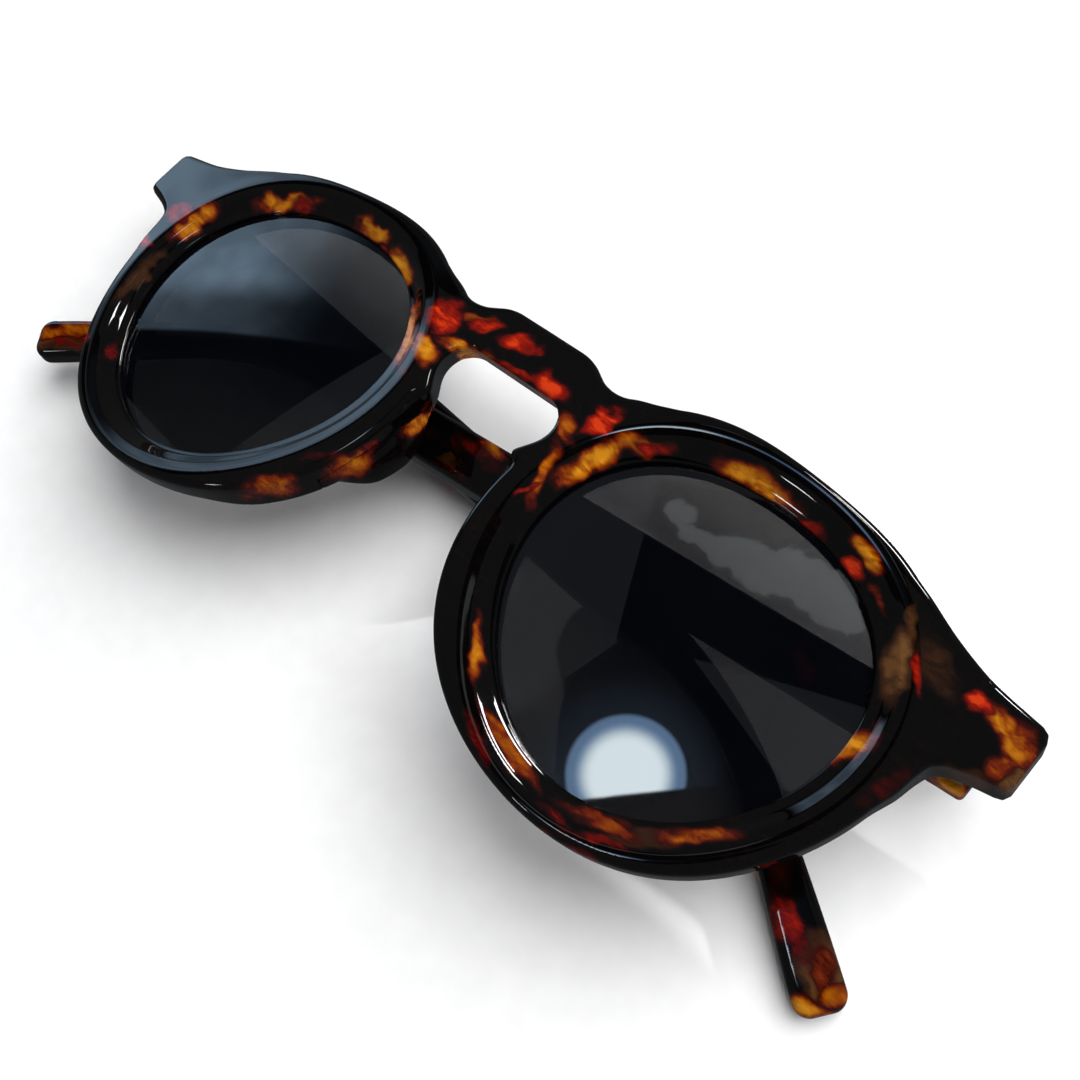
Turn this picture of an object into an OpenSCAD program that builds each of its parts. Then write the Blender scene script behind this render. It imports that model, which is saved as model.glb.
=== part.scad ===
// Round keyhole sunglasses, folded, resting on the outer face of the right temple.
// Built in the glasses' own frame: X to the wearer's left, Y up to the brow, Z out of the front,
// with the lens centres at Y = 0, and turned into the resting place at the end.

/* [Lenses] */
// Middle of the glasses to the middle of a lens
lens_x = 35.7; // [34:0.1:38]
// Mean radius of the lens opening
lens_r = 20.1; // [18.5:0.1:21]
// How much wider than high the opening is
lens_oval = 0.72; // [0:0.02:1.2]
// Lean of the oval, lower end towards the nose
lens_lean = 0.28; // [0:0.02:0.6]
// Flattened brow and narrowed foot of the opening
lens_panto = 0.66; // [0:0.02:1.0]
// Thickness of a lens
lens_t = 2.0; // [1.6:0.1:2.4]
// Depth of the rim's groove round a lens
groove_d = 0.6; // [0.4:0.05:0.9]
// Front face of the rim down to the front of the lens
lens_set = 2.7; // [2.2:0.1:2.9]

/* [Front] */
// Thickness of the front, front face to back face
front_t = 5.5; // [5.2:0.1:6.2]
// Radius of the bend of the front round the face
front_bend = 470; // [400:10:600]
// Mean radius of the rim's outer edge
rim_r = 26.0; // [25.5:0.1:27]
// How much wider than high the rim's outer edge is
rim_oval = 1.53; // [1.2:0.02:1.8]
// Width of the bevel that falls from the crest to the lens, at the sides
bevel_side = 3.4; // [2:0.1:4]
// Width of the same bevel over and under the lens
bevel_top = 4.0; // [2.5:0.1:4.5]

/* [Bridge] */
// Top of the bridge bar above the lens centres
bar_top = 20.3; // [19.5:0.1:21.5]
// Half the straight top of the bridge bar
bar_half = 7.8; // [6.5:0.1:9]
// Notch between bar and rim, from the middle
notch_x = 12.5; // [11.5:0.1:13.5]
// Height of the notch
notch_y = 17.0; // [16:0.1:17.8]
// Top of the keyhole above the lens centres
key_top = 12.8; // [12:0.1:14.5]
// Rise of the keyhole towards the back, for the saddle of the nose
key_rise = 12; // [0:1:16]
// Flare of the keyhole's sides towards the back
key_flare = 17; // [0:1:20]
// Half the width of the keyhole at its widest
key_half = 8.7; // [8:0.1:9.2]
// Radius of the keyhole's upper corners
key_r = 3.3; // [2.5:0.1:3.8]
// Half the gap under the keyhole's shoulders
key_neck = 6.3; // [5.5:0.1:7]

/* [End pieces] */
// Middle of the glasses to the outside of an end piece
end_x = 70.4; // [69.5:0.1:71.5]
// Top of an end piece above the lens centres
end_top = 15.4; // [15:0.1:16.2]
// Underside of an end piece above the lens centres
end_low = 7.6; // [6.5:0.1:8]

/* [Nose pads] */
// Side of the nose to the middle of the glasses, at the middle of a pad
pad_x = 8.8; // [8.4:0.1:9.2]
// Middle of a pad below the lens centres
pad_low = 3.2; // [2:0.1:4.5]
// Lean of a pad, lower end away from the nose
pad_lean = 17; // [14:0.5:20]
// Length of a pad along the side of the nose
pad_len = 15; // [13:0.5:17]
// How far a pad stands in towards the nose at its back
pad_in = 2.0; // [1.4:0.1:3]
// How far a pad stands behind the back of the front
pad_back = 2.2; // [1.5:0.1:2.8]
// Width of a pad's foot on the back of the rim
pad_foot = 3.2; // [2.6:0.1:3.8]
// Distance from the front face to where a pad begins
pad_set = 1.6; // [1:0.1:2.5]

/* [Hinges] */
// Middle of the glasses to a hinge axis
hinge_x = 65; // [64:0.1:66]
// Height of the middle of a hinge above the lens centres
hinge_y = 10.6; // [10.4:0.1:11.4]
// End piece's back face to the hinge axis
hinge_drop = 2.5; // [2.4:0.05:2.8]
// Radius of a hinge's knuckles
knuckle_r = 1.5; // [1.3:0.05:1.6]
// Height of one knuckle
knuckle_h = 1.1; // [0.9:0.05:1.2]
// Gap between one knuckle and the next
knuckle_gap = 0.06; // [0.04:0.01:0.12]
// Radius of the screw that is the hinge's pin
screw_r = 0.7; // [0.5:0.05:0.8]
// Clearance of the screw in the knuckles, all round
screw_fit = 0.04; // [0.02:0.01:0.08]
// Radius of the screw's head
screw_head_r = 1.2; // [1:0.05:1.3]
// Height of the screw's head
screw_head_h = 0.6; // [0.4:0.05:0.8]
// Thickness of a hinge's leaves
leaf_t = 1.2; // [1:0.05:1.4]
// Length of a hinge's leaf from the axis
leaf_len = 9; // [7:0.5:10]
// Depth to which a leaf is sunk into its plastic
leaf_sink = 0.6; // [0.4:0.05:0.8]
// Radius of the anchor studs under a leaf
stud_r = 0.6; // [0.4:0.05:0.8]
// Length of the anchor studs
stud_len = 1.5; // [1:0.1:1.8]

/* [Temples] */
// Thickness of a temple, inner to outer face
temple_t = 4.2; // [3.8:0.1:4.4]
// Height of a temple at the hinge
temple_h = 7.0; // [6.8:0.1:7.4]
// Height of a temple at its waist, in the ear bend
waist_h = 4.2; // [3.8:0.1:5]
// Hinge axis to where a temple begins to narrow
narrow_at = 78; // [70:1:85]
// Hinge axis to the waist, along the temple
waist_at = 108; // [104:1:112]
// Height of a temple at its tip
tip_h = 6.0; // [5.4:0.1:6.4]
// Radius of the corners of the tip
tip_r = 1.9; // [1.4:0.1:2.4]
// Hinge axis to the start of the ear bend
bend_at = 94; // [85:1:98]
// Radius of the ear bend
bend_r = 43; // [38:1:48]
// Fall of the straight part towards the ear
temple_fall = 4.9; // [4.4:0.1:5.2]
// Further turn of the ear bend
bend_turn = 31; // [28:1:36]
// Straight length after the bend
tip_len = 23; // [20:1:27]
// Hinge axis to the inner face of a temple
face_off = 1.0; // [0.9:0.05:1.2]
// Hinge axis to a temple's end face
end_off = 2.2; // [2:0.05:2.3]
// Gap left between the two temples when folded
stack_gap = 0.35; // [0.3:0.05:0.5]
// Height of the wire inside a temple
wire_h = 1.8; // [1.5:0.1:2.2]
// Thickness of the wire inside a temple
wire_t = 1.0; // [0.8:0.1:1.4]
// End of a leaf to the start of the wire
wire_gap = 1.5; // [1:0.1:3]
// End of the wire to the temple's tip
wire_short = 8; // [6:0.5:12]

/* [Hidden] */

$fn = 64;
fit = 0.02;
big = 400;
outline_n = 96;

tortoise = "#5a2a12";
smoke = "#3a3d42";
nickel = "#b8b8b4";

// Small harmonics of the rim's outer edge, one, three and four times round, across and up
rim_one = [-0.38, 0.12];
rim_three = [0, 0.78];
rim_four = [-0.29, 0.27];

// Height of the bent front's face, or of a layer at some depth under it, at x from the middle
function face_z(x, depth = 0) = sqrt(pow(front_bend - depth, 2) - x * x) - front_bend;
lens_cant = asin(lens_x / front_bend);
seat_z = face_z(hinge_x + 4, front_t);
hinge_z = seat_z - hinge_drop;
fold_over = asin((temple_t + stack_gap) / (2 * hinge_x));
tip_angle = temple_fall + bend_turn;
straight_len = bend_at / cos(temple_fall);
centre_len = straight_len + bend_r * bend_turn * PI / 180 + tip_len;
knuckle_pitch = knuckle_h + knuckle_gap;
barrel_h = 5 * knuckle_h + 4 * knuckle_gap;
leaf_h = barrel_h - knuckle_h;
leaf_from = knuckle_r + 0.35;
pad_r = (front_t + pad_back - pad_set) / 2;

// Radius of the lens opening and of the rim's outer edge in direction a from the lens centre
function lens_radius(a) =
    lens_r + lens_oval * cos(2 * a) - lens_lean * sin(2 * a) + lens_panto * sin(3 * a);
function rim_radius(a) =
    rim_r + rim_one * [cos(a), sin(a)] + rim_oval * cos(2 * a) + rim_three * [cos(3 * a), sin(3 * a)]
    + rim_four * [cos(4 * a), sin(4 * a)];
function turns(n) = [for (i = [0 : n - 1]) i * 360 / n];
function lens_outline(grow = 0) = [for (a = turns(outline_n)) (lens_radius(a) + grow) * [cos(a), sin(a)]];
rim_outline = [for (a = turns(outline_n)) rim_radius(a) * [cos(a), sin(a)]];
rim_ys = [for (p = rim_outline) p[1]];

// Frame at a place on the bent front: origin on a layer at some depth, X along it and away from the nose
module on_front(x, depth = 0) {
    translate([x, 0, face_z(x, depth)]) rotate([0, asin(x / (front_bend - depth)), 0]) children();
}

// The wearer's left side as drawn, or the right side as its mirror image
module side_of(s) {
    if (s > 0) children();
    else mirror([1, 0, 0]) children();
}

// The folded glasses lie level on the outer face of the right temple
module at_rest() {
    lift = temple_t + face_off - hinge_z * cos(fold_over) + hinge_x * sin(fold_over);
    back = -(max(rim_ys) + min(rim_ys)) / 2;
    translate([hinge_z * sin(fold_over), back, lift]) rotate([0, -fold_over, 0]) children();
}

// Front
module bridge_2d() {
    polygon([[-1, bar_top], [bar_half, bar_top - 0.4], [notch_x, notch_y],
             [lens_x - 16, notch_y + 2], [lens_x - 16, 5], [-1, 5]]);
}

module end_2d() {
    corner = 1.2;
    side = lens_x + rim_radius(0);
    polygon([[side - 11, end_top + 5], [side - 7.7, end_top + 3.8], [side - 4.9, end_top + 2.6],
             [side - 1.5, end_top + 1.4], [side + 1.8, end_top + 0.6], [end_x - corner, end_top],
             [end_x, end_top - corner], [end_x, end_low + corner], [end_x - corner, end_low],
             [side + 4, end_low - 0.8], [side + 1.9, end_low - 2], [side + 0.8, end_low - 4.2],
             [side, end_low - 7], [side - 5, 0], [side - 11, 0]]);
}

module keyhole_2d() {
    side = key_half - key_r;
    middle = key_top - key_r;
    for (s = [-1, 1]) translate([s * side, middle]) circle(key_r);
    translate([-side, middle - key_r]) square([2 * side, 2 * key_r]);
    translate([-key_neck, middle - big]) square([2 * key_neck, big]);
}

module half_2d() {
    translate([lens_x, 0]) polygon(rim_outline);
    bridge_2d();
    end_2d();
}

// The bent plate that the front is cut from
module front_plate() {
    translate([0, 0, -front_bend]) rotate([90, 0, 0]) difference() {
        cylinder(big, r = front_bend, center = true, $fn = 1440);
        cylinder(big + 2, r = front_bend - front_t, center = true, $fn = 1440);
    }
}

// The opening, the groove that holds the lens and the bevel that falls to it from the crest
module lens_cut() {
    rise = lens_set - 0.5;
    wider = [1 + bevel_side / (lens_r + lens_oval), 1 + bevel_top / (lens_r - lens_oval)];
    on_front(lens_x) {
        translate([0, 0, -2 * front_t]) linear_extrude(2 * front_t - rise / 2) polygon(lens_outline());
        translate([0, 0, -lens_set - lens_t]) linear_extrude(lens_t) polygon(lens_outline(groove_d));
        translate([0, 0, -rise]) linear_extrude(rise, scale = wider, slices = 1, segments = 0)
            polygon(lens_outline());
        linear_extrude(front_t) scale(wider) polygon(lens_outline());
    }
}

// Frame of a nose pad: X away from the nose, Y up along its side, Z out of the front
module pad_frame() {
    translate([pad_x, -pad_low, 0]) rotate([0, 0, pad_lean]) children();
}

// A section drawn across the side of the nose, cut to the long rounded outline of a pad
module pad_length(section) {
    middle = -(pad_set + front_t + pad_back) / 2;
    intersection() {
        rotate([90, 0, 0]) linear_extrude(pad_len + 1, center = true) polygon(section);
        translate([-big / 2, 0, middle]) rotate([0, 90, 0]) linear_extrude(big) {
            for (s = [-1, 1]) translate([0, s * (pad_len / 2 - pad_r)]) circle(pad_r);
            square([2 * pad_r, pad_len - 2 * pad_r], center = true);
        }
    }
}

// Where a pad is bonded, a slope is cut on the inner back corner of the rim
pad_edge = [-1.5, -pad_set];
pad_heel = [pad_foot, -front_t];
module pad_bed() {
    pad_frame() pad_length([pad_edge, pad_heel, [pad_foot, -front_t - 1], [-8, -front_t - 1], [-8, -pad_set]]);
}

module nose_pad(s) {
    back = -front_t - pad_back;
    color(tortoise) at_rest() side_of(s) pad_frame()
        pad_length([pad_edge, [-pad_in, back + 1.6], [1 - pad_in, back], [pad_foot - 1, back],
                    [pad_foot, back + 1], pad_heel]);
}

module half_front() {
    difference() {
        intersection() {
            front_plate();
            translate([0, 0, -big / 2]) linear_extrude(big) half_2d();
            translate([0, -big / 2, -big / 2]) cube(big);
        }
        lens_cut();
        pad_bed();
        front_leaf();
        translate([hinge_x - 4, -big / 2, seat_z - big]) cube(big);
    }
}

module frame_front() {
    color(tortoise) at_rest() difference() {
        for (s = [-1, 1]) side_of(s) half_front();
        for (a = [-1, 0, 1]) rotate([key_rise, a * key_flare, 0])
            linear_extrude(big, center = true) keyhole_2d();
    }
}

module lens(s) {
    color(smoke, 0.6) at_rest() side_of(s) on_front(lens_x)
        translate([0, 0, -lens_set - lens_t]) linear_extrude(lens_t) polygon(lens_outline(groove_d - fit));
}

// Hinges, each with two knuckles on the front's leaf and three on the temple's
function knuckle_y(i) = i * knuckle_pitch - barrel_h / 2;

module knuckles(rows) {
    for (i = rows) translate([0, knuckle_y(i), 0]) rotate([-90, 0, 0]) cylinder(knuckle_h, r = knuckle_r);
}

module studs(near, far) {
    for (x = [near, far]) translate([x, 0, 0]) cylinder(stud_len, r = stud_r);
}

// The leaf lies on the back of the end piece, sunk into it, with studs that go deeper
module front_leaf() {
    middle = hinge_x - leaf_len / 2;
    on_front(middle, front_t) translate([0, hinge_y, leaf_sink]) {
        translate([-leaf_len / 2, -leaf_h / 2, -leaf_t]) cube([leaf_len, leaf_h, leaf_t]);
        studs(2 - leaf_len / 2, leaf_len / 2 - 2.5);
    }
}

module front_hinge(s) {
    rows = [1, 3];
    neck = face_z(hinge_x, front_t) - hinge_z;
    color(nickel) at_rest() side_of(s) difference() {
        union() {
            front_leaf();
            for (i = rows) translate([hinge_x - knuckle_r, hinge_y + knuckle_y(i), hinge_z])
                cube([knuckle_r, knuckle_h, neck]);
            translate([hinge_x, hinge_y, hinge_z]) knuckles(rows);
        }
        translate([hinge_x, hinge_y - barrel_h, hinge_z]) rotate([-90, 0, 0])
            cylinder(2 * barrel_h, r = screw_r);
    }
}

// Frame of a temple: origin on the hinge axis, X along the folded temple, Z out of the front
module temple_frame(s) {
    at_rest() translate([s * hinge_x, hinge_y, hinge_z]) rotate([0, fold_over, 0])
        mirror([s > 0 ? 1 : 0, 0, 0]) children();
}

module hinge_screw(s) {
    color(nickel) temple_frame(s) rotate([-90, 0, 0]) {
        translate([0, 0, -barrel_h / 2]) cylinder(barrel_h + knuckle_gap, r = screw_r);
        translate([0, 0, barrel_h / 2 + knuckle_gap]) difference() {
            cylinder(screw_head_h, r = screw_head_r);
            translate([-screw_head_r - 1, -0.15, screw_head_h / 2]) cube([2 * screw_head_r + 2, 0.3, 1]);
        }
    }
}

// The leaf lies on the inner face of the temple, sunk into it, with studs and with necks to its knuckles
module temple_leaf() {
    rows = [0, 2, 4];
    top = leaf_t - face_off - leaf_sink;
    translate([0, 0, top - leaf_t]) {
        translate([leaf_from, -leaf_h / 2, 0]) cube([leaf_len - leaf_from, leaf_h, leaf_t]);
        mirror([0, 0, 1]) studs(leaf_from + 1.5, leaf_len - 2);
    }
    for (i = rows) translate([0, knuckle_y(i), -knuckle_r]) cube([leaf_from + 0.5, knuckle_h, top + knuckle_r]);
    knuckles(rows);
}

module temple_hinge(s) {
    color(nickel) temple_frame(s) difference() {
        temple_leaf();
        translate([0, -barrel_h, 0]) rotate([-90, 0, 0]) cylinder(2 * barrel_h, r = screw_r + screw_fit);
    }
}

// Temples, straight to the ear and then bent down
// A point on the centre line and the slope there, at length l from the hinge axis
function centre_line(l) =
    l < straight_len ? [[l * cos(temple_fall), -l * sin(temple_fall)], temple_fall]
    : let (turn = min(bend_turn, (l - straight_len) * 180 / PI / bend_r), a = temple_fall + turn,
           past = l - straight_len - turn * bend_r * PI / 180)
      [[bend_at + bend_r * (sin(a) - sin(temple_fall)) + past * cos(a),
        -bend_at * tan(temple_fall) - bend_r * (cos(temple_fall) - cos(a)) - past * sin(a)], a];

// The same, moved off the centre line by up, square to it
function beside(l, up) = let (c = centre_line(l)) c[0] + up * [sin(c[1]), cos(c[1])];

// Smooth change from 0 to 1 while l goes from a to b
function change(l, a, b) = (1 - cos(180 * min(1, max(0, (l - a) / (b - a))))) / 2;

function temple_half_h(l) =
    (temple_h + (waist_h - temple_h) * change(l, narrow_at, waist_at)
     + (tip_h - waist_h) * change(l, waist_at, centre_len)) / 2;

// Stations along the centre line: the straight part, the bend in steps, and the end of the tip
function stations(from, to) =
    concat([from], [for (i = [0 : 15]) narrow_at + i / 16 * (centre_len - 12 - narrow_at)], [to]);

module temple_2d() {
    last = centre_len - tip_r;
    ls = stations(0, last);
    top = [for (l = ls) beside(l, temple_half_h(l))];
    low = [for (i = [len(ls) - 1 : -1 : 0]) beside(ls[i], -temple_half_h(ls[i]))];
    corner = temple_half_h(last) - tip_r;
    tip = [for (a = [75 : -15 : 15]) beside(last + tip_r * cos(a), corner + tip_r * sin(a)),
           for (a = [-15 : -15 : -75]) beside(last + tip_r * cos(a), tip_r * sin(a) - corner)];
    polygon(concat([[-end_off, temple_h / 2]], top, tip, low, [[-end_off, -temple_h / 2]]));
}

module wire_2d() {
    ls = stations(leaf_len + wire_gap, centre_len - wire_short);
    n = len(ls) - 1;
    polygon(concat([for (l = ls) beside(l, wire_h / 2)], [for (i = [n : -1 : 0]) beside(ls[i], -wire_h / 2)]));
}

module wire() {
    translate([0, 0, -face_off - (temple_t + wire_t) / 2]) linear_extrude(wire_t) wire_2d();
}

module temple(s) {
    color(tortoise) temple_frame(s) difference() {
        translate([0, 0, -face_off - temple_t]) linear_extrude(temple_t) temple_2d();
        translate([0, -big / 2, 0]) rotate([-90, 0, 0]) cylinder(big, r = leaf_from - 0.05);
        temple_leaf();
        wire();
    }
}

module core_wire(s) {
    color(nickel) temple_frame(s) wire();
}

frame_front();
lens(1);  // lens_left
lens(-1);  // lens_right
nose_pad(1);  // nose_pad_left
nose_pad(-1);  // nose_pad_right
front_hinge(1);  // front_hinge_left
front_hinge(-1);  // front_hinge_right
hinge_screw(1);  // hinge_screw_left
hinge_screw(-1);  // hinge_screw_right
temple(1);  // temple_left
temple(-1);  // temple_right
temple_hinge(1);  // temple_hinge_left
temple_hinge(-1);  // temple_hinge_right
core_wire(1);  // core_wire_left
core_wire(-1);  // core_wire_right
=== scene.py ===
# %% [markdown]
# # Round tortoiseshell sunglasses, folded on a pale table
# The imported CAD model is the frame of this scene. It says where each part sits, how large it is and
# how it turns. Blender adds what the CAD leaves out: rounded edges, the stepped bevel round each lens,
# curved lenses and the clouded acetate.

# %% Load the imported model
import math
import bpy
import numpy as np
from mathutils import Matrix, Vector


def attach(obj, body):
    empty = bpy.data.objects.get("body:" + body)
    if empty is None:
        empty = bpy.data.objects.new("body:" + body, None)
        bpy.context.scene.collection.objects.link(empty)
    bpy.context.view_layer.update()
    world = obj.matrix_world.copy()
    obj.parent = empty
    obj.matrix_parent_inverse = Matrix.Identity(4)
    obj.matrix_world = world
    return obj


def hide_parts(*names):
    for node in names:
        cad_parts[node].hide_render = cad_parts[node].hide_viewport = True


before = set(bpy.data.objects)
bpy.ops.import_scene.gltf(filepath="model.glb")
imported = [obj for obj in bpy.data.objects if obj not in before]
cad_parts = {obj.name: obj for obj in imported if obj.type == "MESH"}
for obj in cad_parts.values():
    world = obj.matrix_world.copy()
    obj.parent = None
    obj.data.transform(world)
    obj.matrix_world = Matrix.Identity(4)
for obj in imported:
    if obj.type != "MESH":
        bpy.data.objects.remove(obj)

MM = 0.001
bpy.context.view_layer.update()

# %% [markdown]
# ## Camera
# The photograph looks down at the folded glasses from the wearer's left and from below the lenses.
# The place and the three axes of the camera were found by matching points of the photograph with
# the same points of the model. Another way would be to move the camera by eye, which is never exact.

# %% Camera at the photograph's place
PHOTO_SIDE = 1080
FOCAL_PX = 1300
EYE = Vector((76.345, -30.577, 148.007)) * MM
RIGHT = Vector((0.7269, 0.6621, -0.1822)).normalized()
BACK = Vector((0.4126, -0.2090, 0.8866)).normalized()
UP = BACK.cross(RIGHT).normalized()

camera_data = bpy.data.cameras.new("camera")
camera_data.sensor_width = 36
camera_data.sensor_fit = "HORIZONTAL"
camera_data.lens = 36 * FOCAL_PX / PHOTO_SIDE
camera_data.clip_start = 0.005
camera = bpy.data.objects.new("camera", camera_data)
bpy.context.scene.collection.objects.link(camera)
camera.matrix_world = Matrix.Translation(EYE) @ Matrix((RIGHT, UP, BACK)).transposed().to_4x4()
bpy.context.scene.camera = camera
print("camera", round(EYE.length, 3), "m from the middle, lens", round(camera_data.lens, 1), "mm")

# %% [markdown]
# ## The glasses' own frame
# A front is drawn upright, as worn: X to the wearer's left, Y up to the brow, Z out of the front,
# in millimetres, with the lens centres at Y = 0. The folded glasses lie tilted by two degrees, because one
# temple lies on the other. One matrix takes the upright frame to the table, so every piece can be
# drawn in the frame that suits it.

# %% From the upright frame to the table
# These three values are the CAD's own: its tilt, its shift and the left hinge's axis.
FOLD = math.radians(2.00576)
SHIFT = np.array([-0.460371, 0.593885, 20.6204])
HINGE = np.array([65.0, 10.6, -13.1535])

def turn_y(angle):
    c, s = math.cos(angle), math.sin(angle)
    return np.array([[c, 0, s], [0, 1, 0], [-s, 0, c]])

def front_to_table(points):
    """Upright glasses, mm, to the table, mm."""
    return points @ turn_y(-FOLD).T + SHIFT

def temple_to_table(points, side):
    """A temple's own frame, with X along it from the hinge, to the table, mm."""
    own = points * np.array([-side, 1, 1])
    hinge = front_to_table(HINGE * np.array([side, 1, 1]))
    return own + hinge

print("left hinge on the table at", np.round(temple_to_table(np.zeros((1, 3)), 1), 2), "mm")

# %% [markdown]
# ## Shapes as distances
# An acetate front is milled from one bent plate and then tumbled for days, which rounds every edge
# a little. A subdivision mesh of two rims, a keyhole bridge and end pieces needs hundreds of hand-placed
# faces to do that. Here each form is a function instead: the distance from a point to its
# surface, negative inside. Two forms are joined or cut with a chosen radius, and the tumbled
# edges come by themselves.

# %% Joining and cutting with a radius
def cut_round(a, b, r):
    """What is inside both a and b, with the edge between them rounded to r."""
    return np.minimum(np.maximum(a, b), -r) + np.hypot(np.maximum(a + r, 0), np.maximum(b + r, 0))

def join_round(a, b, r):
    """a and b together, with the inner corner between them filled to r."""
    return -cut_round(-a, -b, r)

def smooth_step(t):
    t = np.clip(t, 0, 1)
    return t * t * (3 - 2 * t)

def polygon_distance(x, y, corners):
    """Distance in the plane to a polygon, negative inside it."""
    nearest = np.full(np.broadcast(x, y).shape, np.inf)
    inside = np.zeros(nearest.shape, bool)
    for (ax, ay), (bx, by) in zip(corners, corners[1:] + corners[:1]):
        ex, ey = bx - ax, by - ay
        along = np.clip(((x - ax) * ex + (y - ay) * ey) / (ex * ex + ey * ey), 0, 1)
        nearest = np.minimum(nearest, np.hypot(x - ax - along * ex, y - ay - along * ey))
        if ey:
            inside ^= ((ay > y) != (by > y)) & (x < ax + (y - ay) * ex / ey)
    return np.where(inside, -nearest, nearest)

def polar_distance(x, y, radius):
    """Distance in the plane to a closed curve given by its radius in each direction."""
    a = np.arctan2(y, x)
    r = radius(a)
    slope = (radius(a + 0.01) - radius(a - 0.01)) / 0.02 / r
    return (np.hypot(x, y) - r) / np.sqrt(1 + slope * slope)

print("an edge rounded to 1 mm starts", cut_round(np.array(-1.0), np.array(-1.0), 1.0), "mm deep")

# %% [markdown]
# ## From distances to a mesh
# The distance is sampled on a fine grid. Every grid cell that the surface crosses gets one vertex, and every
# grid edge that it crosses gets one four-sided face between the four cells round it. This is
# called surface nets. The vertices are then drawn along the slope of the distance until they lie on the
# surface, and evened out between these steps, so that the gloss runs smoothly over them.

# %% Surface nets
def grid_axes(low, high, step):
    return [np.arange(lo, hi + step, step) for lo, hi in zip(low, high)]

def surface_nets(values, axes):
    inside = values < 0
    nx, ny, nz = values.shape
    total = np.zeros((nx - 1, ny - 1, nz - 1, 3))
    count = np.zeros((nx - 1, ny - 1, nz - 1))
    for axis in range(3):
        lo = [slice(None)] * 3
        hi = [slice(None)] * 3
        lo[axis], hi[axis] = slice(0, -1), slice(1, None)
        a, b = values[tuple(lo)], values[tuple(hi)]
        crossing = np.argwhere(inside[tuple(lo)] != inside[tuple(hi)])
        i = tuple(crossing.T)
        part = a[i] / (a[i] - b[i])
        place = crossing.astype(float)
        place[:, axis] += part
        others = [k for k in range(3) if k != axis]
        for da in (0, -1):
            for db in (0, -1):
                cell = crossing.copy()
                cell[:, others[0]] += da
                cell[:, others[1]] += db
                c = tuple(cell.T)
                np.add.at(total, c, place)
                np.add.at(count, c, 1)
    used = count > 0
    index = np.full(count.shape, -1)
    index[used] = np.arange(used.sum())
    mean = total[used] / count[used][:, None]
    step = axes[0][1] - axes[0][0]
    points = mean * step + np.array([axis[0] for axis in axes])
    faces = []
    for axis in range(3):
        lo = [slice(None)] * 3
        hi = [slice(None)] * 3
        lo[axis], hi[axis] = slice(0, -1), slice(1, None)
        leaves = inside[tuple(lo)] & ~inside[tuple(hi)]
        enters = ~inside[tuple(lo)] & inside[tuple(hi)]
        u, v = (axis + 1) % 3, (axis + 2) % 3
        for edges, order in ((leaves, 1), (enters, -1)):
            e = np.argwhere(edges)
            ring = []
            for du, dv in ((-1, -1), (0, -1), (0, 0), (-1, 0))[::order]:
                c = e.copy()
                c[:, u] += du
                c[:, v] += dv
                ring.append(index[tuple(c.T)])
            faces.append(np.stack(ring, axis=1))
    return points, np.concatenate(faces)

print("a face of the net always joins four neighbouring cells")

# %% Drawing the net onto the surface
def slope_of(shape, points, reach=0.02):
    """Gradient of a distance function, by small steps each way."""
    slope = np.empty_like(points)
    for axis in range(3):
        shift = np.zeros(3)
        shift[axis] = reach
        slope[:, axis] = (shape(*(points + shift).T) - shape(*(points - shift).T)) / (2 * reach)
    return slope

def even_out(points, edges, amount=0.5):
    """Moves every vertex towards the mean of its neighbours."""
    total = np.zeros_like(points)
    count = np.zeros(len(points))
    for a, b in ((0, 1), (1, 0)):
        np.add.at(total, edges[:, a], points[edges[:, b]])
        np.add.at(count, edges[:, a], 1)
    return points + amount * (total / count[:, None] - points)

def halve(points, faces):
    """Cuts every face into four."""
    ring = np.sort(np.stack([faces, np.roll(faces, -1, axis=1)], axis=2), axis=2)
    edges, place = np.unique(ring.reshape(-1, 2), axis=0, return_inverse=True)
    middle = len(points) + place.reshape(faces.shape)
    centre = len(points) + len(edges) + np.arange(len(faces))
    points = np.concatenate([points, points[edges].mean(axis=1), points[faces].mean(axis=1)])
    small = [np.stack([faces[:, k], middle[:, k], centre, middle[:, k - 1]], axis=1) for k in range(4)]
    return points, np.concatenate(small)

def draw_in(shape, points, step):
    """Draws points along the slope until they lie on the surface."""
    for _ in range(2):
        slope = slope_of(shape, points)
        size = np.maximum((slope ** 2).sum(axis=1), 0.05)
        move = -(shape(*points.T) / size)[:, None] * slope
        length = np.linalg.norm(move, axis=1)
        points = points + move * np.minimum(1, 0.5 * step / np.maximum(length, 1e-9))[:, None]
    return points

def mesh_shape(shape, low, high, step, rounds=3, finer=False):
    """Points, faces and outward normals of a distance function, in mm."""
    axes = grid_axes(low, high, step)
    x, y, z = np.meshgrid(*axes, indexing="ij", sparse=True)
    points, faces = surface_nets(np.broadcast_to(shape(x, y, z), [len(a) for a in axes]), axes)
    edges = np.unique(np.sort(np.concatenate([faces[:, [i, (i + 1) % 4]] for i in range(4)]), axis=1), axis=0)
    for turn in range(rounds):
        if turn < rounds - 1:
            points = even_out(points, edges)
        points = draw_in(shape, points, step)
    if finer:
        points, faces = halve(points, faces)
        points = draw_in(shape, points, step / 2)
    slope = slope_of(shape, points)
    normals = slope / np.maximum(np.linalg.norm(slope, axis=1), 1e-9)[:, None]
    return points, faces, normals

print("each vertex is drawn to the surface in short steps; halving the faces gives thin highlights clean edges")

# %% [markdown]
# ## One maker for every piece
# A piece's mesh is turned into the table's frame in metres, and the exact slope of the distance becomes its
# normals. Blender would otherwise average the faces' normals, and thin highlights would shiver.

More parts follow.
